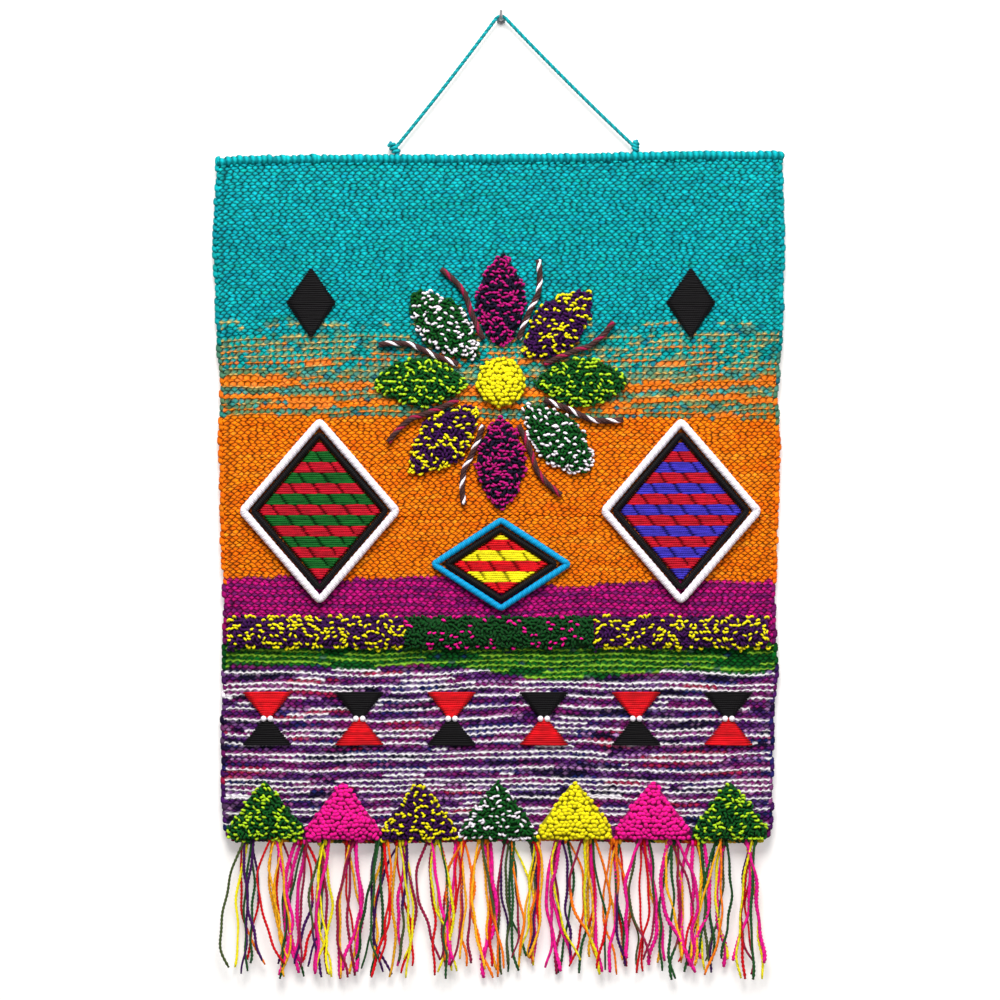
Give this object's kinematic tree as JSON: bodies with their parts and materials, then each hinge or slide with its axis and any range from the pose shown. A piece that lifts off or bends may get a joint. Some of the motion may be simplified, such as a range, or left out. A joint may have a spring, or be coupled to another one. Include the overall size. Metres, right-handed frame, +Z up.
{
  "type": "woven yarn wall hanging with fringe, cord and wall hook",
  "caption": "Weft-faced woven wall hanging with raised pile, laid stitches and couched cords, a long yarn fringe, and a twisted cord that hangs it from a small steel wall hook.",
  "frame": {"origin": "centre of the hook collar's back face, on the wall plane", "axes": "+Z up, +X to the right as the hanging is seen from the room, +Y into the wall; the worked face looks along -Y"},
  "size_m": [0.405, 0.0165, 0.6866],
  "materials": {
    "teal_yarn": "thick handspun yarn in a weft-faced weave, matt",
    "steel": "bare wire, slightly dull",
    "mixed_yarn": "loose plied yarns in many colours, matt",
    "green_pile": "looped yarn pile, matt",
    "dark_green_pile": "looped yarn pile, matt",
    "purple_pile": "looped yarn pile, matt",
    "pink_pile": "looped yarn pile, matt",
    "yellow_pile": "looped yarn pile, matt",
    "black_stitch": "laid yarn stitches, soft sheen",
    "red_stitch": "laid yarn stitches, soft sheen",
    "blue_stitch": "laid yarn stitches, soft sheen",
    "white_cord": "wrapped couched cord, soft sheen",
    "blue_cord": "wrapped couched cord, soft sheen",
    "brown_cord": "wrapped couched cord, soft sheen"
  },
  "bodies": {
    "root": {"woven_cloth": "teal_yarn", "hanging_cord": "teal_yarn", "cord_knot_left": "teal_yarn", "cord_knot_right": "teal_yarn", "wall_hook": "steel", "fringe": "mixed_yarn", "rosette_middle": "yellow_pile", "petal_1": "green_pile", "petal_2": "purple_pile", "petal_3": "pink_pile", "petal_4": "dark_green_pile", "petal_5": "green_pile", "petal_6": "purple_pile", "petal_7": "pink_pile", "petal_8": "dark_green_pile", "ray_1": "brown_cord", "ray_2": "brown_cord", "ray_3": "brown_cord", "ray_4": "brown_cord", "ray_5": "brown_cord", "ray_6": "brown_cord", "ray_7": "brown_cord", "ray_8": "brown_cord", "lozenge_left_field": "red_stitch", "lozenge_left_inner_cord": "black_stitch", "lozenge_left_outer_cord": "white_cord", "lozenge_right_field": "blue_stitch", "lozenge_right_inner_cord": "black_stitch", "lozenge_right_outer_cord": "white_cord", "lozenge_middle_field": "red_stitch", "lozenge_middle_inner_cord": "black_stitch", "lozenge_middle_outer_cord": "blue_cord", "spark_left": "black_stitch", "spark_right": "black_stitch", "band_left": "purple_pile", "band_right": "purple_pile", "band_middle": "dark_green_pile", "hourglass_1": "red_stitch", "hourglass_2": "black_stitch", "hourglass_3": "red_stitch", "hourglass_4": "black_stitch", "hourglass_5": "red_stitch", "hourglass_6": "black_stitch", "peak_1": "green_pile", "peak_2": "pink_pile", "peak_3": "purple_pile", "peak_4": "dark_green_pile", "peak_5": "yellow_pile", "peak_6": "pink_pile", "peak_7": "green_pile"}
  },
  "joints": []
}
